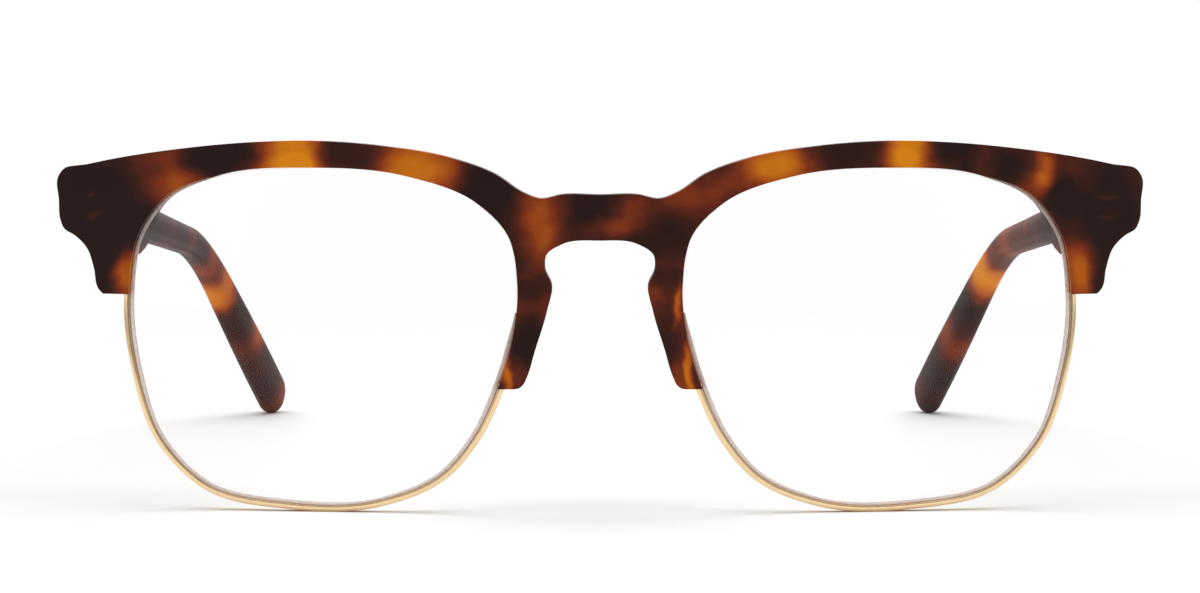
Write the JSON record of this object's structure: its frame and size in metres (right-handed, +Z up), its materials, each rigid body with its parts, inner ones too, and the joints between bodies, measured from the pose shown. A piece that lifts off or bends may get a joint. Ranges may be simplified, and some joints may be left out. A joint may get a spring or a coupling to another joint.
{
  "type": "browline glasses",
  "caption": "Browline eyeglasses with a bent acetate front, keyhole bridge, gold half rims under clear lenses, and folding temples on knuckle hinges.",
  "frame": {"origin": "centre of the bounding box in X and Y, on the surface that the rims and temple tips stand on", "axes": "+X towards the wearer's left, +Y back along the temples to the ears, +Z up; the wearer looks along -Y"},
  "size_m": [0.1426, 0.1492, 0.0484],
  "materials": {
    "front_acetate": "dark tortoise acetate, softly polished",
    "temple_acetate": "dark tortoise acetate, softly polished",
    "pad_acetate": "dark tortoise acetate, softly polished",
    "lens": "clear demo lens",
    "gold_rim": "pale gold plating, polished",
    "gold_hinge": "pale gold plating",
    "screw": "fine turned steel",
    "core": "drawn nickel silver wire"
  },
  "bodies": {
    "front": {"front_frame": "front_acetate", "left_nose_pad": "pad_acetate", "right_nose_pad": "pad_acetate", "left_lens": "lens", "right_lens": "lens", "left_rim_wire": "gold_rim", "right_rim_wire": "gold_rim", "left_outer_rim_screw": "screw", "left_inner_rim_screw": "screw", "right_outer_rim_screw": "screw", "right_inner_rim_screw": "screw", "left_front_hinge": "gold_hinge", "right_front_hinge": "gold_hinge", "left_hinge_screw": "screw", "right_hinge_screw": "screw"},
    "left_temple": {"left_temple": "temple_acetate", "left_temple_hinge": "gold_hinge", "left_core_wire": "core"},
    "right_temple": {"right_temple": "temple_acetate", "right_temple_hinge": "gold_hinge", "right_core_wire": "core"}
  },
  "joints": [
    {"name": "left_temple_fold", "type": "hinge", "parent": "front", "child": "left_temple", "pos_m": [0.06535, -0.05869, 0.0405], "axis": [0, 0, 1], "range_deg": [0, 88]},
    {"name": "right_temple_fold", "type": "hinge", "parent": "front", "child": "right_temple", "pos_m": [-0.06535, -0.05869, 0.0405], "axis": [0, 0, -1], "range_deg": [0, 82]}
  ]
}
